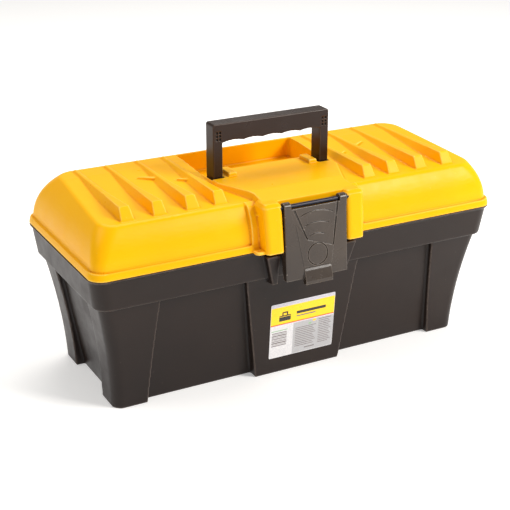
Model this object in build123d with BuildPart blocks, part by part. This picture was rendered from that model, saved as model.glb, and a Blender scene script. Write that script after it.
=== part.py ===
from build123d import *
import math
import os

# Toolbox with a lift-out tray. Millimetres, +Z up, +X to the right along the length, front at -Y.
# The origin lies on the floor under the middle of the box.

# ---- driving dimensions ----
wall = 2.4                    # moulded wall of the bin and the lid
floor_thickness = 2.8

# bin
body_height = 104.0           # top of the tapered body, underside of the collar
foot_half_length = 182.4      # at the floor
foot_half_width = 64.6
body_flare = 13.4             # how much further out the body reaches at its top
end_bow = 2.7                 # how hollow the end faces are at half height
side_bow = 1.7
body_corner = 10.0
collar_bottom_half_length = 200.0
collar_bottom_half_width = 82.2
collar_top_half_length = 203.3
collar_top_half_width = 85.6
collar_top = 131.6
collar_corner = 14.0
ledge_height = 107.0          # inner ledge that carries the tray
ledge_inset = 6.0             # its edge, in from the body's outer face
flange_half_length = 205.2
flange_half_width = 87.3
flange_top = 133.3
mouth_half_length = 196.6     # clear opening of the rim
mouth_half_width = 78.7
tongue_thickness = 1.5        # low wall on the rim that locates the lid
tongue_height = 2.6

# recessed panels and the raised middle pad of the bin
pad_half_bottom = 44.7
pad_half_top = 58.4
pad_front_bottom = 68.0
pad_front_top = 77.0
panel_outer_bottom = 151.0
panel_outer_top = 141.0
panel_front_bottom = 57.2
panel_front_top = 72.4
end_panel_half_bottom = 33.0
end_panel_half_top = 41.0
end_panel_bottom = 173.7
end_panel_top = 189.6

# lid
rim_half_length = 205.0
rim_half_width = 87.1
rim_bottom = 133.6
groove_height = 140.0         # groove at the top of the rim band
band_half_length = 203.7      # at the groove
band_half_width = 85.7
band_corner = 13.0
shoulder_inset = 2.5          # step from the band to the dome
groove_width = 1.2
groove_depth = 1.2
dome_radius = 55.0            # curve of the sides and ends
dome_limit = 182.0
front_fold = 174.5            # height of the top along the front fold
back_fold = 184.0
fold_half_width = 70.0
lid_corner = 11.0             # at the groove
lid_corner_growth = 7.0       # how much rounder the corners are at the top

# carry handle, its well and its pins
handle_half_width = 59.7
leg_width = 9.0
handle_depth = 16.0
handle_axis_y = -9.0
handle_axis_z = 172.0
handle_top = 230.6
grip_bottom = 213.4
finger_pitch = 19.6           # finger grooves under the grip
finger_depth = 1.3
handle_pin_radius = 2.5
pin_seat_depth = 5.5          # how far the pins reach past the slots, towards the middle
pin_end_depth = 4.4           # and how far they reach past the well, outwards
well_half_width = 62.2
well_back = 62.0
well_floor = 162.0
well_top = 200.0              # clear above the lid, where cuts for the well start
platform_back = 3.0
slot_front = -18.6
slot_inner = 49.4
platform_top = 181.2
platform_fold = -62.0         # where the platform starts to slope down to the latch

# latch, its pin and the catch
latch_half_width = 31.3
latch_axis_y = -92.0
latch_axis_z = 172.4
latch_pin_radius = 2.0
latch_pin_half = 40.0
latch_front = -96.2           # before it leans
latch_back = -94.2
latch_top = 170.6
latch_bottom = 105.6
latch_raise = 0.5             # how far the tongue stands out of the latch's face
latch_lean = 4.6              # degrees that the latch leans out at its bottom
latch_knuckle_radius = 4.2
latch_arm_width = 6.5
cheek_inner = 31.9
cheek_outer_bottom = 49.5
cheek_outer_top = 51.0
cheek_front_bottom = -100.0
cheek_front_top = -94.4
cheek_top = 177.6
front_panel_half = 57.0       # raised middle of the lid's front

# lid hinge
hinge_y = 92.5
hinge_z = 131.4
hinge_pin_radius = 1.75
hinge_knuckle_radius = 4.5
hinge_centre_x = 112.0
lid_knuckle_width = 22.0
bin_knuckle_width = 9.0
knuckle_gap = 0.5

# fits
fixed_fit = 0.02              # radial, pin held in its seat
running_fit = 0.08            # radial, part that turns on the pin

# tray
tray_half_length = 195.4
tray_half_width = 77.4
tray_bottom = ledge_height
tray_top = 136.0
tray_wall = 2.0
tray_corner = 11.0
tray_grip_top = 157.0
tray_grip_half = 56.0

# label
label_width = 67.8
label_height = 56.5
label_centre_x = 2.2
label_centre_z = 44.4
label_thickness = 0.3

os.makedirs("parts", exist_ok=True)


# ---- shared shapes ----
far = 300.0                   # longer than any piece, for cuts that go right through


def rounded_loft(sections, ruled=False):
    """Solid through rounded rectangles: (height, half length, half width, corner radius)."""
    with BuildPart() as form:
        for height, half_length, half_width, radius in sections:
            with BuildSketch(Plane.XY.offset(height)):
                RectangleRounded(2 * half_length, 2 * half_width, radius)
        loft(ruled=ruled)
    return form.part


def block(x_range, y_range, z_range):
    """Plain block between two corners."""
    centre_x = (x_range[0] + x_range[1]) / 2
    centre_y = (y_range[0] + y_range[1]) / 2
    with BuildPart() as form:
        with BuildSketch(Plane.XY.offset(z_range[0])):
            with Locations((centre_x, centre_y)):
                Rectangle(x_range[1] - x_range[0], y_range[1] - y_range[0])
        extrude(amount=z_range[1] - z_range[0])
    return form.part


def crossed_prism(side_points, front_points):
    """Solid with one outline seen from the side (y, z) and another seen from the front (x, z)."""
    with BuildPart() as form:
        with BuildSketch(Plane.YZ):
            Polygon(*side_points, align=None)
        extrude(amount=far, both=True)
        with BuildSketch(Plane.XZ):
            Polygon(*front_points, align=None)
        extrude(amount=far, both=True, mode=Mode.INTERSECT)
    return form.part


def rod(x_start, x_end, centre_y, centre_z, radius):
    """Round bar along X."""
    with BuildPart() as form:
        with BuildSketch(Plane.YZ.offset(x_start)):
            with Locations((centre_y, centre_z)):
                Circle(radius)
        extrude(amount=x_end - x_start)
    return form.part


# ---- bin ----
def body_section(height, inset):
    """Half length and half width of the tapered body at a height."""
    share = height / body_height
    half_length = foot_half_length + body_flare * share - 4 * end_bow * share * (1 - share)
    half_width = foot_half_width + body_flare * share - 4 * side_bow * share * (1 - share)
    return height, half_length - inset, half_width - inset, body_corner - inset / 2


def tapered_body(inset, bottom):
    """Tapered tub with hollow-curved ends, drawn inwards by inset."""
    heights = [bottom + (body_height - bottom) * share for share in (0, 0.34, 0.67, 1)]
    return rounded_loft([body_section(height, inset) for height in heights])


def long_panel_recess(inset, bottom):
    """Space in front of the right-hand front panel, grown by inset towards the inside."""
    side = [
        (-panel_front_bottom + inset, bottom),
        (-panel_front_top + inset, body_height),
        (-120, body_height),
        (-120, bottom),
    ]
    front = [
        (pad_half_bottom - inset, bottom),
        (panel_outer_bottom + inset, bottom),
        (panel_outer_top + inset, body_height),
        (pad_half_top - inset, body_height),
    ]
    return crossed_prism(side, front)


def end_panel_recess(inset, bottom):
    """Space outside the right-hand end panel, grown by inset towards the inside."""
    side = [
        (-end_panel_half_bottom - inset, bottom),
        (end_panel_half_bottom + inset, bottom),
        (end_panel_half_top + inset, body_height),
        (-end_panel_half_top - inset, body_height),
    ]
    front = [
        (end_panel_bottom - inset, bottom),
        (240, bottom),
        (240, body_height),
        (end_panel_top - inset, body_height),
    ]
    return crossed_prism(side, front)


def middle_pad(inset, bottom):
    """Raised pad in the middle of the front, drawn inwards by inset."""
    lean = (pad_front_top - pad_front_bottom) / body_height
    side = [
        (-40, bottom),
        (-pad_front_bottom - lean * bottom + inset, bottom),
        (-pad_front_top + inset, body_height),
        (-40, body_height),
    ]
    front = [
        (-pad_half_bottom + inset, bottom),
        (pad_half_bottom - inset, bottom),
        (pad_half_top - inset, body_height),
        (-pad_half_top + inset, body_height),
    ]
    return crossed_prism(side, front)


def tub(inset, bottom):
    """Whole body under the collar: posts, recessed panels and pads on both long sides."""
    with BuildPart() as form:
        add(tapered_body(inset, bottom))
        long_recess = long_panel_recess(inset, bottom)
        add(long_recess, mode=Mode.SUBTRACT)
        add(mirror(long_recess, about=Plane.YZ, mode=Mode.PRIVATE), mode=Mode.SUBTRACT)
        back_recess = mirror(long_recess, about=Plane.XZ, mode=Mode.PRIVATE)
        add(back_recess, mode=Mode.SUBTRACT)
        add(mirror(back_recess, about=Plane.YZ, mode=Mode.PRIVATE), mode=Mode.SUBTRACT)
        end_recess = end_panel_recess(inset, bottom)
        add(end_recess, mode=Mode.SUBTRACT)
        add(mirror(end_recess, about=Plane.YZ, mode=Mode.PRIVATE), mode=Mode.SUBTRACT)
        pad = middle_pad(inset, bottom)
        add(pad)
        add(mirror(pad, about=Plane.XZ, mode=Mode.PRIVATE))
    return form.part


def collar():
    """Wide collar round the top of the bin, with a rounded lower edge."""
    with BuildPart() as form:
        add(rounded_loft([
            (body_height, collar_bottom_half_length, collar_bottom_half_width, collar_corner),
            (collar_top, collar_top_half_length, collar_top_half_width, collar_corner),
        ]))
        fillet(form.edges().group_by(Axis.Z)[0], radius=1.6)
    return form.part


def bin_knuckle(centre_x):
    """Bin half of one hinge knuckle: an arm from the collar that ends in an eye."""
    half = bin_knuckle_width / 2
    with BuildPart() as form:
        with BuildSketch(Plane.YZ.offset(centre_x - half)):
            with Locations((hinge_y, hinge_z)):
                Circle(hinge_knuckle_radius)
            Polygon(
                (84.0, 117.0),
                (85.6, 117.0),
                (hinge_y + hinge_knuckle_radius, hinge_z),
                (hinge_y, hinge_z),
                (85.0, hinge_z),
                align=None,
            )
        extrude(amount=bin_knuckle_width)
    return form.part


def hinge_sides():
    """Middles of the four bin knuckles along X."""
    offset = (lid_knuckle_width + bin_knuckle_width) / 2 + knuckle_gap
    return [side * hinge_centre_x + step * offset for side in (-1, 1) for step in (-1, 1)]


def latch_boss(side):
    """Tapered boss on the collar beside the latch; side is -1 for left and 1 for right."""
    top = 128.6
    bottom = 98.0
    inner = 32.6
    outline = [
        (side * inner, top),
        (side * 46.0, top),
        (side * 37.8, bottom),
        (side * inner, bottom),
    ]
    collar_back = -80.5
    pad_back = -75.5
    profile = [
        (collar_back, top),
        (-92.6, top),
        (-88.4, bottom + 1.6),
        (pad_back, bottom),
        (pad_back, body_height + 1),
        (collar_back, body_height + 1),
    ]
    with BuildPart() as form:
        add(crossed_prism(profile, outline))
        front_edges = form.edges().filter_by(lambda edge: edge.center().Y < -87.5)
        fillet(front_edges, radius=1.2)
    return form.part


def catch():
    """Ramp on the collar that the latch snaps over."""
    profile = [
        (-82.0, 110.0),
        (-89.6, 110.0),
        (-90.5, 120.0),
        (-84.5, 125.5),
        (-82.0, 125.5),
    ]
    outline = [(-12.0, 105.0), (12.0, 105.0), (12.0, 130.0), (-12.0, 130.0)]
    return crossed_prism(profile, outline)


def make_bin():
    with BuildPart() as form:
        add(tub(0, 0))
        add(collar())
        add(rounded_loft([
            (collar_top, flange_half_length, flange_half_width, collar_corner + 1),
            (flange_top, flange_half_length, flange_half_width, collar_corner + 1),
        ]))
        add(tub(wall, floor_thickness), mode=Mode.SUBTRACT)
        ledge_opening = body_section(body_height, ledge_inset)[1:]
        add(rounded_loft([
            (body_height - 1, *ledge_opening),
            (ledge_height, *ledge_opening),
        ]), mode=Mode.SUBTRACT)
        add(rounded_loft([
            (ledge_height, collar_bottom_half_length - wall, collar_bottom_half_width - wall, 12),
            (collar_top, collar_top_half_length - wall, collar_top_half_width - wall, 12),
        ]), mode=Mode.SUBTRACT)
        with BuildSketch(Plane.XY.offset(collar_top)):
            RectangleRounded(2 * mouth_half_length, 2 * mouth_half_width, 11)
        extrude(amount=flange_top - collar_top, mode=Mode.SUBTRACT)
        with BuildSketch(Plane.XY.offset(flange_top)):
            tongue_length = 2 * (mouth_half_length + tongue_thickness)
            tongue_width = 2 * (mouth_half_width + tongue_thickness)
            RectangleRounded(tongue_length, tongue_width, 11 + tongue_thickness)
            RectangleRounded(2 * mouth_half_length, 2 * mouth_half_width, 11, mode=Mode.SUBTRACT)
        extrude(amount=tongue_height)
        for side in (-1, 1):
            add(latch_boss(side))
        add(catch())
        for centre_x in hinge_sides():
            add(bin_knuckle(centre_x))
        for side in (-1, 1):
            centre_x = side * hinge_centre_x
            reach = lid_knuckle_width / 2 + knuckle_gap + bin_knuckle_width + 1
            seat = rod(centre_x - reach, centre_x + reach, hinge_y, hinge_z, hinge_pin_radius + fixed_fit)
            add(seat, mode=Mode.SUBTRACT)
    form.part.label = "bin"
    return form.part


# ---- lid ----
def dome(inset, base):
    """Lid above its rim band, with curved sides and a tilted top, drawn inwards by inset."""
    half_length = band_half_length - shoulder_inset - inset
    half_width = band_half_width - shoulder_inset - inset
    radius = dome_radius - inset
    last_angle = math.asin((dome_limit - groove_height) / radius)
    last_step = 5
    sections = []
    for step in range(last_step + 1):
        angle = last_angle * step / last_step
        drawn_in = radius * (1 - math.cos(angle))
        height = groove_height + radius * math.sin(angle)
        corner = lid_corner + lid_corner_growth * step / last_step - inset / 2
        sections.append((height, half_length - drawn_in, half_width - drawn_in, corner))
    slope = (back_fold - front_fold) / (2 * fold_half_width)
    middle_height = (front_fold + back_fold) / 2 - inset
    with BuildPart() as form:
        add(rounded_loft(sections))
        if base < groove_height:
            first = (half_length, half_width, lid_corner - inset / 2)
            add(rounded_loft([(base, *first), (groove_height, *first)]))
        with BuildSketch(Plane.YZ):
            Polygon(
                (-120, base),
                (120, base),
                (120, middle_height + 120 * slope),
                (-120, middle_height - 120 * slope),
                align=None,
            )
        extrude(amount=far, both=True, mode=Mode.INTERSECT)
    return form.part


def rounded_dome():
    """Outer dome with its top fold softened."""
    with BuildPart() as form:
        add(dome(0, groove_height))
        top_face = form.faces().sort_by(Axis.Z)[-1]
        fillet(top_face.edges(), radius=6)
    return form.part


def top_height(y):
    """Height of the lid's tilted top at a depth."""
    return (front_fold + back_fold) / 2 + (back_fold - front_fold) * y / (2 * fold_half_width)


def rib(centre_x):
    """Wedge-shaped rib on the lid, high and broad at the front, a point at the back."""
    sections = [
        # depth, base half width, top half width, height over the top
        (-65.5, 6.5, 5.9, 0.5),
        (-57.8, 7.3, 4.6, 10.2),
        (-8.0, 8.4, 1.7, 5.2),
        (59.0, 2.8, 0.9, 0.4),
    ]
    buried = 1.5
    with BuildPart() as form:
        for y, base_half, top_half, height in sections:
            low = top_height(y) - buried
            high = top_height(y) + height
            with BuildSketch(Plane.XZ.offset(-y)):
                Polygon(
                    (centre_x - base_half, low),
                    (centre_x + base_half, low),
                    (centre_x + top_half, high),
                    (centre_x - top_half, high),
                    align=None,
                )
        loft(ruled=True)
    return form.part


def barb(tip_x, tip_y, root_x, root_y):
    """Low pointed fin that joins the outer flank of a rib."""
    root_half = 2.6
    buried = 1.5
    with BuildPart() as form:
        with BuildSketch(Plane.XY.offset(top_height(root_y) - buried)):
            Polygon(
                (tip_x, tip_y),
                (root_x, root_y - root_half),
                (root_x, root_y + root_half),
                align=None,
            )
        extrude(amount=buried + 2.6)
    return form.part


def platform_outline(grow):
    """Plan of the platform: straight sides, then corners that slant in towards the latch."""
    right = [
        (62.0 + grow, platform_back),
        (62.0 + grow, -29.0 - grow / 2),
        (45.5 + grow, -67.0 - grow / 2),
        (44.0 + grow, -100.0),
    ]
    left = [(-x, y) for x, y in reversed(right)]
    return right + left


def platform(inset):
    """Raised middle of the lid in front of the handle, sloping down to the latch."""
    base = 166.0
    flank = 6.6               # how far the flanks spread between the top and the base
    profile = [
        (platform_back, base),
        (platform_back, platform_top - inset),
        (platform_fold, platform_top - inset),
        (-86.2 + inset, 177.2 - inset),
        (-86.2 + inset, base),
    ]
    with BuildPart() as form:
        with BuildSketch(Plane.XY.offset(base)):
            Polygon(*platform_outline(flank - inset), align=None)
        with BuildSketch(Plane.XY.offset(platform_top)):
            Polygon(*platform_outline(-inset), align=None)
        loft(ruled=True)
        with BuildSketch(Plane.YZ):
            Polygon(*profile, align=None)
        extrude(amount=100, both=True, mode=Mode.INTERSECT)
    return form.part


def front_cheek(side):
    """Rounded pillar beside the latch, leaning like it, that holds one end of the latch pin."""
    back_y = -74.0
    corner = 4.5
    levels = [
        (rim_bottom, cheek_outer_bottom, cheek_front_bottom),
        (cheek_top, cheek_outer_top, cheek_front_top),
    ]
    with BuildPart() as form:
        for height, outer, front_y in levels:
            middle = (side * (cheek_inner + outer) / 2, (front_y + back_y) / 2)
            with BuildSketch(Plane.XY.offset(height)):
                with Locations(middle):
                    RectangleRounded(outer - cheek_inner, back_y - front_y, corner)
        loft(ruled=True)
        top_edges = form.faces().sort_by(Axis.Z)[-1].edges()
        front_top = top_edges.filter_by(lambda edge: edge.center().Y < -89)
        inner_top = top_edges.filter_by(Axis.Y).sort_by(lambda edge: side * edge.center().X)[:1]
        chamfer(front_top + inner_top, length=3.0)
    return form.part


def front_panel():
    """Raised middle of the lid's front, and the wall behind the latch."""
    profile = [
        (-70.0, rim_bottom),
        (-85.6, rim_bottom),
        (-85.6, 146.0),
        (-84.4, 156.0),
        (-81.6, 165.0),
        (-76.6, 172.6),
        (-70.0, 175.4),
    ]
    with BuildPart() as form:
        with BuildSketch(Plane.YZ.offset(-front_panel_half)):
            Polygon(*profile, align=None)
        extrude(amount=2 * front_panel_half)
        add(block((-33, 33), (-86.2, -79.0), (rim_bottom, 176.0)))
    return form.part


def eyelet():
    """Small tab with an oblong eye beside the left cheek."""
    thickness = 2.8
    with BuildPart() as form:
        add(block((-57.5, -44.0), (-95.6, -85.0), (rim_bottom, rim_bottom + thickness)))
        outer_edge = form.edges().filter_by(Axis.Z).group_by(Axis.X)[0].sort_by(Axis.Y)[0]
        fillet(outer_edge, radius=3.5)
        with BuildSketch(Plane.XY.offset(rim_bottom)):
            with Locations((-53.4, -91.2)):
                SlotOverall(3.8, 1.9)
        extrude(amount=thickness, mode=Mode.SUBTRACT)
    return form.part


def lid_volume(skin, base):
    """Everything between a base height and a skin's thickness under the lid's outer face."""
    with BuildPart() as form:
        add(dome(skin, base))
        add(platform(skin))
    return form.part


def well_walls():
    """Walls and floor under the handle well, and the seats of the handle pins."""
    outer = well_half_width + wall
    under = well_floor - wall
    with BuildPart() as form:
        add(block((-outer, outer), (platform_back - wall, well_back + wall), (under, well_top)))
        for side in (-1, 1):
            inner_end = side * (slot_inner - pin_seat_depth - 1.5)
            x_range = sorted((inner_end, side * (well_half_width + pin_end_depth)))
            add(block(x_range, (slot_front - wall, platform_back), (under, well_top)))
        add(lid_volume(1.0, under), mode=Mode.INTERSECT)
    return form.part


def well_space():
    """Room for the folded handle, with a slot for each leg."""
    with BuildPart() as form:
        add(block((-well_half_width, well_half_width), (platform_back, well_back), (well_floor, well_top)))
        corners = form.edges().filter_by(Axis.Z).filter_by(lambda edge: edge.center().Y > 30)
        fillet(corners, radius=4)
        for side in (-1, 1):
            x_range = sorted((side * slot_inner, side * well_half_width))
            add(block(x_range, (slot_front, platform_back + 1), (well_floor, well_top)))
    return form.part


def lid_knuckle(side):
    """Lid half of one hinge: an arm from the rim band that ends in an eye."""
    with BuildPart() as form:
        with BuildSketch(Plane.YZ.offset(side * hinge_centre_x - lid_knuckle_width / 2)):
            with Locations((hinge_y, hinge_z)):
                Circle(hinge_knuckle_radius)
            Polygon(
                (hinge_y, rim_bottom + 0.4),
                (84.0, rim_bottom + 0.4),
                (83.4, 142.0),
                (85.0, 142.0),
                (hinge_y + hinge_knuckle_radius * 0.85, hinge_z + hinge_knuckle_radius * 0.5),
                align=None,
            )
        extrude(amount=lid_knuckle_width)
    return form.part


def nub(side):
    """Low raised pad on the platform beside each handle leg."""
    with BuildPart() as form:
        add(block((side * 41.8 - 4.0, side * 41.8 + 4.0), (-20.0, -1.0), (179.0, 185.2)))
        upper = form.edges().group_by(Axis.Z)[-1]
        fillet(upper, radius=1.2)
    return form.part


def make_lid():
    rib_centres = (76.2, 102.8, 133.5, 163.2)
    lip_height = 2.6
    with BuildPart() as form:
        add(rounded_dome())
        add(rounded_loft([
            (rim_bottom, rim_half_length, rim_half_width, collar_corner),
            (rim_bottom + lip_height, rim_half_length - 0.3, rim_half_width - 0.3, collar_corner),
        ]))
        add(rounded_loft([
            (rim_bottom + lip_height, rim_half_length - 0.3, rim_half_width - 0.3, collar_corner),
            (groove_height, band_half_length, band_half_width, band_corner),
        ]))
        with BuildSketch(Plane.XY.offset(groove_height - groove_depth)):
            inner_length = 2 * (band_half_length - shoulder_inset)
            inner_width = 2 * (band_half_width - shoulder_inset)
            RectangleRounded(inner_length + 2 * groove_width, inner_width + 2 * groove_width, band_corner)
            RectangleRounded(inner_length, inner_width, lid_corner, mode=Mode.SUBTRACT)
        extrude(amount=groove_depth, mode=Mode.SUBTRACT)
        add(front_panel())
        add(platform(0))
        for side in (-1, 1):
            for centre_x in rib_centres:
                add(rib(side * centre_x))
            add(barb(side * 121.0, 17.5, side * 105.0, 8.5))
            add(barb(side * 91.0, 0.5, side * 78.0, -7.5))
            add(front_cheek(side))
        add(dome(wall, rim_bottom - 1), mode=Mode.SUBTRACT)
        add(platform(wall), mode=Mode.SUBTRACT)
        add(well_walls())
        add(well_space(), mode=Mode.SUBTRACT)
        add(eyelet())
        for side in (-1, 1):
            add(nub(side))
            add(lid_knuckle(side))
            centre_x = side * hinge_centre_x
            turning = hinge_pin_radius + running_fit
            add(
                rod(centre_x - lid_knuckle_width, centre_x + lid_knuckle_width, hinge_y, hinge_z, turning),
                mode=Mode.SUBTRACT,
            )
            seat_end = side * (well_half_width + pin_end_depth + 8)
            ends = sorted((side * (slot_inner - pin_seat_depth), seat_end))
            seat = rod(*ends, handle_axis_y, handle_axis_z, handle_pin_radius + fixed_fit)
            add(seat, mode=Mode.SUBTRACT)
        latch_seat = latch_pin_radius + fixed_fit
        seat = rod(-latch_pin_half, latch_pin_half, latch_axis_y, latch_axis_z, latch_seat)
        add(seat, mode=Mode.SUBTRACT)
    form.part.label = "lid"
    return form.part


# ---- carry handle ----
def make_handle():
    leg_middle = handle_half_width - leg_width / 2
    finger_radius = ((finger_pitch / 2) ** 2 + finger_depth ** 2) / (2 * finger_depth)
    front = handle_axis_y - handle_depth / 2
    pocket_depth = 1.4
    with BuildPart() as form:
        with BuildSketch(Plane.XZ.offset(-handle_axis_y)):
            with Locations((0, (handle_axis_z + handle_top) / 2)):
                Rectangle(2 * handle_half_width, handle_top - handle_axis_z)
            with Locations((0, (handle_axis_z + grip_bottom) / 2)):
                gap_width = 2 * (handle_half_width - leg_width)
                Rectangle(gap_width, grip_bottom - handle_axis_z, mode=Mode.SUBTRACT)
        extrude(amount=handle_depth / 2, both=True)
        outer_corners = form.edges().filter_by(Axis.Y).group_by(Axis.Z)[-1]
        fillet(outer_corners, radius=2.2)
        for side in (-1, 1):
            start = side * leg_middle - leg_width / 2
            add(rod(start, start + leg_width, handle_axis_y, handle_axis_z, handle_depth / 2))
        # finger grooves under the grip
        for step in range(5):
            centre_x = (step - 2) * finger_pitch
            with BuildSketch(Plane.XZ.offset(-handle_axis_y)):
                with Locations((centre_x, grip_bottom + finger_depth - finger_radius)):
                    Circle(finger_radius)
                with Locations((centre_x, grip_bottom + finger_depth)):
                    Rectangle(finger_pitch, 2 * finger_depth, mode=Mode.INTERSECT)
            extrude(amount=handle_depth, both=True, mode=Mode.SUBTRACT)
        top_edges = form.edges().filter_by(Axis.X).filter_by(lambda edge: edge.center().Z > handle_top - 1)
        fillet(top_edges, radius=1.2)
        # small square pockets near the upper corners, front and back
        for side in (-1, 1):
            for face_plane, direction in ((front, 1), (front + handle_depth, -1)):
                with BuildSketch(Plane.XZ.offset(-face_plane)):
                    with Locations((side * (leg_middle - 0.6), handle_top - 11.0)):
                        with GridLocations(3.0, 3.0, 2, 3):
                            Rectangle(2.3, 2.3)
                extrude(amount=-pocket_depth * direction, mode=Mode.SUBTRACT)
        bore = rod(-far, far, handle_axis_y, handle_axis_z, handle_pin_radius + running_fit)
        add(bore, mode=Mode.SUBTRACT)
    form.part.label = "carry_handle"
    return form.part


def make_handle_pin(side):
    ends = sorted((side * (slot_inner - pin_seat_depth), side * (well_half_width + pin_end_depth)))
    return rod(*ends, handle_axis_y, handle_axis_z, handle_pin_radius)


# ---- latch ----
def latch_marks():
    """Cuts in the face of the latch: two tapering slots, and three arcs over a ring."""
    centre = (0.4, 126.4)
    ring_radius = 10.4
    line = 0.9
    spread = math.radians(24)
    reach = 60.0
    left_slot = [(-23.0, 169.0), (-20.6, 169.0), (-8.9, 141.0), (-10.0, 141.0)]
    right_slot = [(21.2, 175.0), (23.6, 175.0), (17.4, 132.0), (16.4, 132.0)]
    with BuildPart() as form:
        with BuildSketch(Plane.XZ.offset(-latch_front + latch_raise)):
            Polygon(*left_slot, align=None)
            Polygon(*right_slot, align=None)
        extrude(amount=-latch_raise - 1.1)
        with BuildSketch(Plane.XZ.offset(-latch_front + latch_raise)):
            with Locations(centre):
                Circle(ring_radius)
                Circle(ring_radius - line, mode=Mode.SUBTRACT)
        extrude(amount=-latch_raise - 0.6)
        for radius in (19.0, 29.5, 40.0):
            with BuildSketch(Plane.XZ.offset(-latch_front + latch_raise)):
                with Locations(centre):
                    Circle(radius + line / 2)
                    Circle(radius - line / 2, mode=Mode.SUBTRACT)
                across = reach * math.sin(spread)
                upward = reach * math.cos(spread)
                Polygon(
                    centre,
                    (centre[0] + across, centre[1] + upward),
                    (centre[0] - across, centre[1] + upward),
                    align=None,
                    mode=Mode.INTERSECT,
                )
            extrude(amount=-latch_raise - 0.6)
    return form.part


def latch_side(side):
    """Flange along one edge of the latch, and the arm that wraps the pin."""
    flange_thickness = 2.4
    back = -88.6
    flange = [
        (latch_back - 1, 170.0),
        (back, 168.0),
        (back, 114.0),
        (back - 3, latch_bottom),
        (latch_back - 1, latch_bottom),
    ]
    half = latch_half_width
    arm = sorted((side * half, side * (half - latch_arm_width)))
    with BuildPart() as form:
        with BuildSketch(Plane.YZ.offset(min(side * half, side * (half - flange_thickness)))):
            Polygon(*flange, align=None)
        extrude(amount=flange_thickness)
        add(rod(*arm, latch_axis_y, latch_axis_z, latch_knuckle_radius))
        add(block(arm, (latch_axis_y - latch_knuckle_radius, latch_axis_y - 1), (166.0, latch_axis_z)))
    return form.part


def upright_latch():
    """Latch as it would hang straight down."""
    half = latch_half_width
    tongue = [(-20.5, 155.5), (-13.4, 116.0), (14.6, 116.0), (16.8, 131.5), (-9.4, 140.5)]
    tab_profile = [
        (latch_front + 0.5, 116.0),
        (latch_front - 1.0, 112.5),
        (latch_front - 3.6, 103.6),
        (latch_front - 3.4, 100.4),
        (latch_back, 100.4),
        (latch_back, 116.0),
    ]
    tab_outline = [(-13.8, 90), (13.4, 90), (14.4, 125), (-13.2, 125)]
    with BuildPart() as form:
        add(block((-half, half), (latch_front, latch_back), (latch_bottom, latch_top)))
        outer_edges = form.edges().filter_by(Axis.Z).group_by(Axis.Y)[0]
        fillet(outer_edges, radius=1.2)
        for side in (-1, 1):
            add(latch_side(side))
        with BuildSketch(Plane.XZ.offset(-latch_front)):
            Polygon(*tongue, align=None)
        extrude(amount=latch_raise)
        add(latch_marks(), mode=Mode.SUBTRACT)
        add(crossed_prism(tab_profile, tab_outline))
        # hook bar that reaches under the catch
        add(block((-10, 10), (latch_back - 0.5, latch_back + 12.4), (106.6, 109.4)))
        bore = rod(-far, far, latch_axis_y, latch_axis_z, latch_pin_radius + running_fit)
        add(bore, mode=Mode.SUBTRACT)
    return form.part


def make_latch():
    pin_axis = Axis((0, latch_axis_y, latch_axis_z), (1, 0, 0))
    leaning = upright_latch().rotate(pin_axis, -latch_lean)
    with BuildPart() as form:
        add(leaning)
    form.part.label = "front_latch"
    return form.part


# ---- tray ----
def make_tray():
    inner_length = tray_half_length - tray_wall
    inner_width = tray_half_width - tray_wall
    spine_half = 13.0
    with BuildPart() as form:
        add(rounded_loft([
            (tray_bottom, tray_half_length - 0.8, tray_half_width - 0.8, tray_corner),
            (tray_top, tray_half_length, tray_half_width, tray_corner),
        ]))
        add(rounded_loft([
            (tray_bottom + tray_wall, inner_length - 0.8, inner_width - 0.8, tray_corner - 1),
            (tray_top, inner_length, inner_width, tray_corner - 1),
        ]), mode=Mode.SUBTRACT)
        # long partitions on both sides of the middle channel
        for side in (-1, 1):
            y_range = sorted((side * spine_half, side * (spine_half - 1.8)))
            add(block((-inner_length, inner_length), y_range, (tray_bottom + 1, tray_top - 4)))
        # cross partitions, front row and back row
        for x in (-64.0, 64.0):
            add(block((x - 0.9, x + 0.9), (-inner_width, -spine_half), (tray_bottom + 1, tray_top - 4)))
        for x in (-98.0, 0.0, 98.0):
            add(block((x - 0.9, x + 0.9), (spine_half, inner_width), (tray_bottom + 1, tray_top - 4)))
        # grip across the middle channel
        with BuildSketch(Plane.XZ):
            with Locations((0, (tray_bottom + 1 + tray_grip_top) / 2)):
                Rectangle(2 * tray_grip_half, tray_grip_top - tray_bottom - 1)
            with Locations((0, (tray_bottom + 1 + tray_grip_top - 8) / 2)):
                Rectangle(2 * tray_grip_half - 18, tray_grip_top - tray_bottom - 9, mode=Mode.SUBTRACT)
        extrude(amount=5.0, both=True)
        upper = form.edges().filter_by(Axis.Y).filter_by(lambda edge: edge.center().Z > 145)
        fillet(upper, radius=4)
        long_edges = form.edges().filter_by(Axis.X).filter_by(lambda edge: edge.center().Z > 147)
        fillet(long_edges, radius=2)
    form.part.label = "tray"
    return form.part


# ---- label ----
def make_label():
    lean = (pad_front_top - pad_front_bottom) / body_height
    surface_y = -pad_front_bottom - lean * label_centre_z
    face = Plane(
        origin=(label_centre_x, surface_y, label_centre_z),
        x_dir=(1, 0, 0),
        z_dir=(0, -1, -lean),
    )
    with BuildPart() as form:
        with BuildSketch(face):
            RectangleRounded(label_width, label_height, 1.5)
        extrude(amount=label_thickness)
    form.part.label = "label"
    return form.part


def save(piece, name):
    piece.label = name
    export_step(piece, f"parts/{name}.step")


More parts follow.
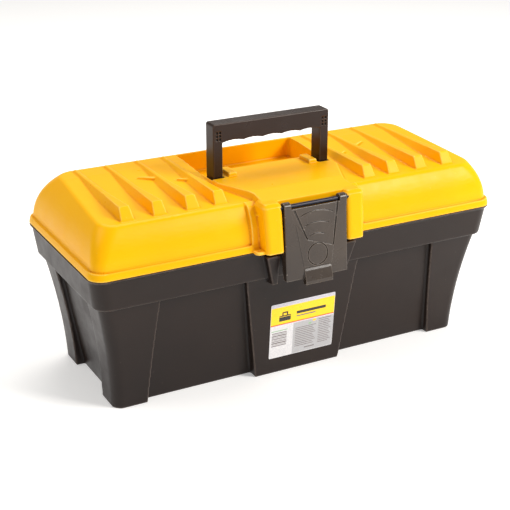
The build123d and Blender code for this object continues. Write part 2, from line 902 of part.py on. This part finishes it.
save(make_bin(), "bin")
save(make_lid(), "lid")
save(make_handle(), "carry_handle")
save(make_latch(), "front_latch")
save(make_tray(), "tray")
save(make_label(), "label")
latch_pin = rod(-latch_pin_half, latch_pin_half, latch_axis_y, latch_axis_z, latch_pin_radius)
save(latch_pin, "latch_pin")
for side, side_name in ((-1, "left"), (1, "right")):
    save(make_handle_pin(side), f"handle_pin_{side_name}")
    pin_half = lid_knuckle_width / 2 + knuckle_gap + bin_knuckle_width
    centre = side * hinge_centre_x
    hinge_pin = rod(centre - pin_half, centre + pin_half, hinge_y, hinge_z, hinge_pin_radius)
    save(hinge_pin, f"hinge_pin_{side_name}")
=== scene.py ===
import math

import bmesh
import bpy
from mathutils import Matrix, Vector


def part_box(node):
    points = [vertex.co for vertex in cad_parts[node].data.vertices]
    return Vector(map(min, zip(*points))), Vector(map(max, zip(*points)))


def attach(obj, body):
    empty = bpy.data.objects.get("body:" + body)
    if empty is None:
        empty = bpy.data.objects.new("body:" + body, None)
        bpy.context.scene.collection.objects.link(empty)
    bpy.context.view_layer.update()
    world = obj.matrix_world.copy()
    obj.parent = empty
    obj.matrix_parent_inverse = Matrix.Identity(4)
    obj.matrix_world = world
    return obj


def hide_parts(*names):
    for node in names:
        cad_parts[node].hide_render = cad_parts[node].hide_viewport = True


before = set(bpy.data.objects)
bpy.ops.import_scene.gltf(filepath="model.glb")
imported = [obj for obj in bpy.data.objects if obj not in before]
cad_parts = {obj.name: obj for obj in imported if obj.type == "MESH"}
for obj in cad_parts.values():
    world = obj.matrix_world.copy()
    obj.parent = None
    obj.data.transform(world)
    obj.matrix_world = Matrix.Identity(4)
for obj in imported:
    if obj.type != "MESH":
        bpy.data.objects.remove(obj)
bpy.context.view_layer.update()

MM = 0.001


# ---------------------------------------------------------------- camera
def set_camera():
    """Camera at the reference view: front left, looking down on the lid."""
    azimuth = math.radians(-28.09)
    elevation = math.radians(22.29)
    distance = 1.149
    focal_length = 84.44
    film_width = 36
    look_height = 0.090
    shift_left = 0.0078
    shift_down = 0.0006
    right = Vector((math.cos(azimuth), math.sin(azimuth), 0))
    back = Vector((
        math.sin(azimuth) * math.cos(elevation),
        -math.cos(azimuth) * math.cos(elevation),
        math.sin(elevation),
    ))
    up = back.cross(right)
    target = Vector((0, 0, look_height)) - shift_left * right - shift_down * up
    camera = bpy.data.objects.new("camera", bpy.data.cameras.new("camera"))
    camera.data.lens = focal_length
    camera.data.sensor_width = film_width
    camera.data.clip_end = 50
    axes = Matrix((right, up, back)).transposed().to_4x4()
    camera.matrix_world = Matrix.Translation(target + distance * back) @ axes
    bpy.context.scene.collection.objects.link(camera)
    bpy.context.scene.camera = camera


# ---------------------------------------------------------------- studio
def area_light(name, location, target, size, power):
    """Soft, slightly warm square light that faces a target point."""
    warm_white = (1, 0.97, 0.93)
    data = bpy.data.lights.new(name, "AREA")
    data.shape = "SQUARE"
    data.size = size
    data.energy = power
    data.color = warm_white
    light = bpy.data.objects.new(name, data)
    direction = Vector(target) - Vector(location)
    light.rotation_euler = direction.to_track_quat("-Z", "Y").to_euler()
    light.location = location
    bpy.context.scene.collection.objects.link(light)


def set_studio():
    """White tent: bright surroundings, a pale floor and three soft lights."""
    surroundings = 0.42
    floor_white = 0.94
    floor_glow = 0.3
    half = 8.0

    world = bpy.data.worlds.new("studio")
    world.use_nodes = True
    background = world.node_tree.nodes["Background"]
    background.inputs["Color"].default_value = (1, 0.98, 0.95, 1)
    background.inputs["Strength"].default_value = surroundings
    bpy.context.scene.world = world
    bpy.context.scene.view_settings.view_transform = "Standard"

    middle = (0, 0, 0.1)
    area_light("key", (1.1, -1.3, 1.2), middle, 0.7, 35)
    area_light("top", (0.3, 0.7, 1.6), middle, 0.9, 14)
    area_light("left", (-1.3, 0.2, 1.5), middle, 0.8, 7)

    mesh = bpy.data.meshes.new("floor")
    corners = [(-half, -half, 0), (half, -half, 0), (half, half, 0), (-half, half, 0)]
    mesh.from_pydata(corners, [], [(0, 1, 2, 3)])
    floor = bpy.data.objects.new("floor", mesh)
    bpy.context.scene.collection.objects.link(floor)
    paper = bpy.data.materials.new("paper")
    paper.use_nodes = True
    shader = paper.node_tree.nodes["Principled BSDF"]
    shader.inputs["Base Color"].default_value = (floor_white, floor_white, floor_white, 1)
    shader.inputs["Roughness"].default_value = 0.9
    shader.inputs["Emission Color"].default_value = (1, 1, 1, 1)
    shader.inputs["Emission Strength"].default_value = floor_glow
    mesh.materials.append(paper)


# ---------------------------------------------------------------- materials
def shade(red, green, blue):
    """Linear colour from 0..255 display values."""
    def one(value):
        value /= 255
        return value / 12.92 if value <= 0.04045 else ((value + 0.055) / 1.055) ** 2.4
    return one(red), one(green), one(blue), 1


def add_node(tree, kind, **values):
    """New node; a value is one of its properties or, failing that, one of its inputs."""
    node = tree.nodes.new(kind)
    for key, value in values.items():
        if hasattr(node, key):
            setattr(node, key, value)
        else:
            node.inputs[key.replace("_", " ")].default_value = value
    return node


def noise(tree, place, scale, detail=3.0, rough=0.55):
    """Noise over the object, in cells per metre; the value lies mostly in 0.3 to 0.7."""
    node = add_node(tree, "ShaderNodeTexNoise", Scale=scale, Detail=detail, Roughness=rough)
    tree.links.new(place, node.inputs["Vector"])
    return node.outputs["Fac"]


def ramp(tree, factor, low, high, low_colour=(0, 0, 0, 1), high_colour=(1, 1, 1, 1)):
    """Colour ramp between two stops, driven by a factor."""
    node = tree.nodes.new("ShaderNodeValToRGB")
    node.color_ramp.elements[0].position = low
    node.color_ramp.elements[1].position = high
    node.color_ramp.elements[0].color = low_colour
    node.color_ramp.elements[1].color = high_colour
    tree.links.new(factor, node.inputs["Fac"])
    return node.outputs["Color"]


def multiply(tree, first, second):
    """Product of two linked values."""
    node = add_node(tree, "ShaderNodeMath", operation="MULTIPLY")
    tree.links.new(first, node.inputs[0])
    tree.links.new(second, node.inputs[1])
    return node.outputs["Value"]


def mix_colour(tree, factor, first, second):
    """Mix of a linked colour and a fixed one."""
    node = add_node(tree, "ShaderNodeMix", data_type="RGBA")
    tree.links.new(factor, node.inputs[0])
    tree.links.new(first, node.inputs[6])
    node.inputs[7].default_value = second
    return node.outputs[2]


def spread(tree, factor, low, high):
    """Noise from its middle range onto a range of values."""
    node = tree.nodes.new("ShaderNodeMapRange")
    node.inputs["From Min"].default_value = 0.3
    node.inputs["From Max"].default_value = 0.7
    node.inputs["To Min"].default_value = low
    node.inputs["To Max"].default_value = high
    tree.links.new(factor, node.inputs["Value"])
    return node.outputs["Result"]


def new_material(name):
    """New material with its node tree, its shader and the object's own coordinates."""
    material = bpy.data.materials.new(name)
    material.use_nodes = True
    tree = material.node_tree
    shader = tree.nodes["Principled BSDF"]
    place = tree.nodes.new("ShaderNodeTexCoord").outputs["Object"]
    return material, tree, shader, place


def moulded_plastic(name, colour, dark, pale, crease_shade, roughness, specular, lines=None, painted_shade_heights=None):
    """Injection-moulded plastic: fine grain, flow marks, scuffs, rubbed edges, painted shade in
    creases.
    """
    material, tree, shader, place = new_material(name)
    link = tree.links.new
    flow_cells = 9.0
    blotch_cells = 45.0
    scuff_cells = 160.0
    speck_cells = 420.0
    grain_cells = 1300.0

    flow = noise(tree, place, flow_cells)
    tint = ramp(tree, flow, 0.3, 0.72, dark, colour)
    pointiness = tree.nodes.new("ShaderNodeNewGeometry").outputs["Pointiness"]
    rubbed = ramp(tree, pointiness, 0.51, 0.56)
    # painted shade: low pointiness (hollows, creases, rib bases) takes the darker crease colour,
    # standing in for the shade that falls there
    hollow_shade = ramp(tree, pointiness, 0.45, 0.497, (1, 1, 1, 1), (0, 0, 0, 1))
    tint = mix_colour(tree, hollow_shade, tint, crease_shade)
    # painted shade: the colour is darkened towards the bottom of the piece, between the two given
    # heights
    if painted_shade_heights:
        tint = mix_colour(tree, painted_shade_below(tree, place, painted_shade_heights), tint, dark)
    scuffs = noise(tree, place, scuff_cells, 4.0, 0.7)
    worn = mix_colour(tree, multiply(tree, rubbed, scuffs), tint, pale)
    specks = ramp(tree, noise(tree, place, speck_cells, 3.0, 0.6), 0.7, 1.0)
    link(mix_colour(tree, specks, worn, pale), shader.inputs["Base Color"])

    blotches = noise(tree, place, blotch_cells, 5.0, 0.6)
    link(spread(tree, blotches, roughness - 0.07, roughness + 0.08), shader.inputs["Roughness"])

    bump = add_node(tree, "ShaderNodeBump", Strength=0.25, Distance=0.0001)
    link(noise(tree, place, grain_cells, 2.0, 0.6), bump.inputs["Height"])
    normal = bump.outputs["Normal"]
    if lines:
        normal = lengthwise_lines(tree, place, normal, lines)
    link(normal, shader.inputs["Normal"])
    shader.inputs["Specular IOR Level"].default_value = specular
    return material


def lengthwise_lines(tree, place, normal, pitch):
    """Fine grooves along X, at a pitch over Y, on the faces that point up."""
    radians_per_metre = 20
    scale = math.tau / radians_per_metre / pitch
    wave = add_node(tree, "ShaderNodeTexWave", bands_direction="Y", Scale=scale)
    tree.links.new(place, wave.inputs["Vector"])
    facing = tree.nodes.new("ShaderNodeSeparateXYZ")
    tree.links.new(tree.nodes.new("ShaderNodeTexCoord").outputs["Normal"], facing.inputs["Vector"])
    level = ramp(tree, facing.outputs["Z"], 0.8, 0.95)
    bump = add_node(tree, "ShaderNodeBump", Strength=0.7, Distance=0.0004)
    tree.links.new(multiply(tree, wave.outputs["Fac"], level), bump.inputs["Height"])
    tree.links.new(normal, bump.inputs["Normal"])
    return bump.outputs["Normal"]


def painted_shade_below(tree, place, heights):
    """Painted shade, strongest at the lower height, gone at the upper one, broken up by noise."""
    strongest = 1.1
    split = tree.nodes.new("ShaderNodeSeparateXYZ")
    tree.links.new(place, split.inputs["Vector"])
    fade = tree.nodes.new("ShaderNodeMapRange")
    fade.inputs["From Min"].default_value = heights[0]
    fade.inputs["From Max"].default_value = heights[1]
    fade.inputs["To Min"].default_value = strongest
    fade.inputs["To Max"].default_value = 0.0
    tree.links.new(split.outputs["Z"], fade.inputs["Value"])
    return multiply(tree, fade.outputs["Result"], noise(tree, place, 60.0))


def blackened_steel():
    """Dark drawn wire with fine lengthwise scratches."""
    material, tree, shader, place = new_material("blackened_steel")
    link = tree.links.new
    cells_along = 20
    cells_across = 900
    stretch = add_node(tree, "ShaderNodeMapping")
    stretch.inputs["Scale"].default_value = (cells_along, cells_across, cells_across)
    link(place, stretch.inputs["Vector"])
    scratches = noise(tree, stretch.outputs["Vector"], 1.0, 4.0, 0.6)
    tint = ramp(tree, scratches, 0.3, 0.8, shade(24, 24, 30), shade(72, 72, 82))
    link(tint, shader.inputs["Base Color"])
    link(spread(tree, scratches, 0.28, 0.5), shader.inputs["Roughness"])
    shader.inputs["Metallic"].default_value = 0.8
    return material


def printed_film(name, colour, faded):
    """Ink on a glossy film: fine print grain, slight fading, small ripples."""
    material, tree, shader, place = new_material(name)
    link = tree.links.new
    print_cells = 900.0
    fading_cells = 30.0
    ripple_cells = 90.0
    grain = noise(tree, place, print_cells, 2.0, 0.6)
    fading = noise(tree, place, fading_cells)
    tint = ramp(tree, grain, 0.35, 0.65, faded, colour)
    link(mix_colour(tree, ramp(tree, fading, 0.55, 0.85), tint, faded), shader.inputs["Base Color"])
    link(spread(tree, fading, 0.22, 0.36), shader.inputs["Roughness"])
    bump = add_node(tree, "ShaderNodeBump", Strength=0.15, Distance=0.0003)
    link(noise(tree, place, ripple_cells, 2.0), bump.inputs["Height"])
    link(bump.outputs["Normal"], shader.inputs["Normal"])
    return material


# ---------------------------------------------------------------- mesh helpers
def moulded_copy(node, voxel, smoothing, keep):
    """A CAD node's shape as a fine mesh with softly rounded edges, as a moulding has."""
    weld_distance = 1e-6
    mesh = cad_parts[node].data.copy()
    working = bmesh.new()
    working.from_mesh(mesh)
    bmesh.ops.remove_doubles(working, verts=working.verts, dist=weld_distance)
    working.to_mesh(mesh)
    working.free()
    rough = bpy.data.objects.new(node + "_rough", mesh)
    bpy.context.scene.collection.objects.link(rough)
    remesh = rough.modifiers.new("remesh", "REMESH")
    remesh.mode = "VOXEL"
    remesh.voxel_size = voxel
    soften = rough.modifiers.new("soften", "SMOOTH")
    soften.factor = 0.5
    soften.iterations = smoothing
    if keep < 1:
        thin = rough.modifiers.new("thin", "DECIMATE")
        thin.ratio = keep
    graph = bpy.context.evaluated_depsgraph_get()
    fine = bpy.data.meshes.new_from_object(rough.evaluated_get(graph))
    bpy.data.objects.remove(rough)
    for polygon in fine.polygons:
        polygon.use_smooth = True
    return fine


def moulded_piece(name, node, material, voxel, smoothing, keep):
    """Piece made from a CAD node, riding on the body of that name and standing for it."""
    mesh = moulded_copy(node, voxel, smoothing, keep)
    mesh.materials.clear()
    mesh.materials.append(material)
    piece = bpy.data.objects.new(name, mesh)
    bpy.context.scene.collection.objects.link(piece)
    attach(piece, node)
    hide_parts(node)


# ---------------------------------------------------------------- label
def label_print():
    """Film on the front pad with a plain printed pattern and a toolbox pictogram."""
    inks = {
        "film_white": printed_film("film_white", shade(226, 224, 224), shade(208, 206, 210)),
        "film_silver": printed_film("film_silver", shade(206, 202, 212), shade(188, 186, 196)),
        "ink_yellow": printed_film("ink_yellow", shade(255, 214, 30), shade(255, 208, 20)),
        "ink_red": printed_film("ink_red", shade(214, 62, 24), shade(222, 84, 40)),
        "ink_dark": printed_film("ink_dark", shade(38, 34, 30), shade(52, 48, 42)),
        "ink_grey": printed_film("ink_grey", shade(112, 104, 104), shade(134, 126, 126)),
        "ink_pale": printed_film("ink_pale", shade(184, 183, 184), shade(174, 173, 176)),
        "ink_green": printed_film("ink_green", shade(140, 176, 136), shade(156, 186, 150)),
    }
    order = list(inks)
    low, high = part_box("label")
    thickness = 0.3 * MM
    ink_step = 0.03 * MM
    ink_depth = 0.04 * MM
    lean = math.atan2(high[1] - low[1] - thickness, high[2] - low[2])
    height = (high[2] - low[2]) / math.cos(lean)
    width = high[0] - low[0]
    across = Vector((1, 0, 0))
    upward = Vector((0, -math.sin(lean), math.cos(lean)))
    outward = Vector((0, -math.cos(lean), -math.sin(lean)))
    corner = Vector((low[0], low[1] + height * math.sin(lean), low[2] + thickness * math.sin(lean)))

    working = bmesh.new()

    def patch(ink, u_range, v_range, layer, rounding=0.0):
        """Thin printed block; u and v run 0..1 over the label, layers lie on one another."""
        front = layer * ink_step
        back = -thickness if layer == 0 else front - ink_depth
        u_mid = (u_range[0] + u_range[1]) / 2 * width
        v_mid = (v_range[0] + v_range[1]) / 2 * height
        half_u = (u_range[1] - u_range[0]) / 2 * width
        half_v = (v_range[1] - v_range[0]) / 2 * height
        outline = []
        for sign_u, sign_v, start in ((1, 1, 0), (-1, 1, 90), (-1, -1, 180), (1, -1, 270)):
            steps = 4 if rounding else 0
            for step in range(steps + 1):
                angle = math.radians(start + 90 * step / max(steps, 1))
                u = u_mid + sign_u * (half_u - rounding) + rounding * math.cos(angle)
                v = v_mid + sign_v * (half_v - rounding) + rounding * math.sin(angle)
                outline.append((u, v))
        rings = []
        for depth in (back, front):
            ring = [
                working.verts.new(corner + u * across + v * upward + depth * outward)
                for u, v in outline
            ]
            rings.append(ring)
        faces = [working.faces.new(rings[1]), working.faces.new(list(reversed(rings[0])))]
        for index in range(len(outline)):
            after = (index + 1) % len(outline)
            faces.append(working.faces.new((
                rings[0][index], rings[0][after], rings[1][after], rings[1][index],
            )))
        for face in faces:
            face.material_index = order.index(ink)

    patch("film_white", (0, 1), (0, 1), 0, 1.2 * MM)
    patch("film_silver", (0.008, 0.992), (0.935, 0.992), 1)
    patch("ink_yellow", (0.004, 0.996), (0.622, 0.935), 1)
    patch("ink_red", (0.004, 0.996), (0.604, 0.622), 1)
    patch("ink_pale", (0.36, 0.996), (0.01, 0.585), 1)

    # toolbox pictogram and two plain bars on the yellow band
    patch("ink_dark", (0.13, 0.31), (0.67, 0.775), 2, 0.8 * MM)
    patch("ink_yellow", (0.13, 0.31), (0.748, 0.756), 3)
    patch("ink_dark", (0.175, 0.195), (0.77, 0.83), 2)
    patch("ink_dark", (0.245, 0.265), (0.77, 0.83), 2)
    patch("ink_dark", (0.175, 0.265), (0.815, 0.838), 2, 0.5 * MM)
    patch("ink_dark", (0.40, 0.86), (0.75, 0.80), 2, 0.6 * MM)
    patch("ink_grey", (0.40, 0.70), (0.70, 0.72), 2)

    # plain bars on the white side
    patch("ink_green", (0.02, 0.27), (0.495, 0.51), 1)
    bar_gap = 0.012
    level = 0.47
    for bar in (0.016, 0.008, 0.022, 0.010, 0.018, 0.008, 0.014, 0.024, 0.008, 0.016):
        patch("ink_grey", (0.03, 0.26), (level - bar, level), 1)
        level -= bar + bar_gap

    # rows of plain lines on the grey panel, in two columns
    row_pitch = 0.034
    row_height = 0.012
    for row in range(11):
        v = 0.47 - row * row_pitch
        ragged = 0.05 * ((row * 3) % 4) / 3
        patch("ink_grey", (0.395, 0.72 - ragged), (v, v + row_height), 2)
    for row in range(14):
        v = 0.55 - row * row_pitch
        ragged = 0.04 * ((row * 5) % 3) / 2
        patch("ink_grey", (0.76, 0.96 - ragged), (v, v + row_height), 2)
    patch("ink_grey", (0.55, 0.71), (0.065, 0.085), 2)
    patch("ink_yellow", (0.665, 0.715), (0.545, 0.58), 2, 0.4 * MM)
    patch("ink_green", (0.60, 0.645), (0.50, 0.535), 2, 0.4 * MM)

    mesh = bpy.data.meshes.new("label_print")
    working.to_mesh(mesh)
    working.free()
    piece = bpy.data.objects.new("label_print", mesh)
    bpy.context.scene.collection.objects.link(piece)
    for ink in order:
        mesh.materials.append(inks[ink])
    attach(piece, "bin")
    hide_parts("label")


# ---------------------------------------------------------------- the model
set_camera()
set_studio()

# each plastic's crease_shade colour is painted shade laid into its hollows and creases
yellow = moulded_plastic(
    "yellow_plastic",
    colour=shade(252, 188, 0),
    dark=shade(250, 176, 0),
    pale=shade(255, 236, 140),
    crease_shade=shade(216, 120, 0),
    roughness=0.34,
    specular=0.13,
)
charcoal = moulded_plastic(
    "charcoal_plastic",
    colour=shade(38, 27, 22),
    dark=shade(30, 21, 18),
    pale=shade(120, 104, 94),
    crease_shade=shade(16, 12, 11),
    roughness=0.36,
    specular=0.26,
)
handle_grey = moulded_plastic(
    "handle_plastic",
    colour=shade(44, 26, 16),
    dark=shade(32, 19, 12),
    pale=shade(120, 100, 88),
    crease_shade=shade(14, 9, 7),
    roughness=0.32,
    specular=0.26,
    lines=2.0 * MM,
)
latch_grey = moulded_plastic(
    "latch_plastic",
    colour=shade(84, 71, 58),
    dark=shade(46, 37, 31),
    pale=shade(176, 162, 150),
    crease_shade=shade(22, 18, 15),
    roughness=0.26,
    specular=0.45,
    # painted shade on the latch, darker towards its bottom
    painted_shade_heights=(0.106, 0.150),
)
steel = blackened_steel()

# piece, CAD node, material, slot, voxel in mm, smoothing passes, share of faces kept
mouldings = (
    ("lid_shell", "lid", yellow, "lid_plastic", 0.7, 3, 0.3),
    ("bin_shell", "bin", charcoal, "bin_plastic", 0.9, 3, 0.35),
    ("bail_handle", "carry_handle", handle_grey, "handle_plastic", 0.45, 2, 1.0),
    ("snap_latch", "front_latch", latch_grey, "latch_plastic", 0.3, 2, 1.0),
    ("lift_out_tray", "tray", charcoal, "tray_plastic", 0.8, 3, 0.5),
)
for name, node, material, slot_name, voxel, smoothing, keep in mouldings:
    moulded_piece(name, node, material, voxel * MM, smoothing, keep)
for node in ("latch_pin", "handle_pin_left", "handle_pin_right", "hinge_pin_left", "hinge_pin_right"):
    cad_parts[node].data.materials.clear()
    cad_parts[node].data.materials.append(steel)
label_print()
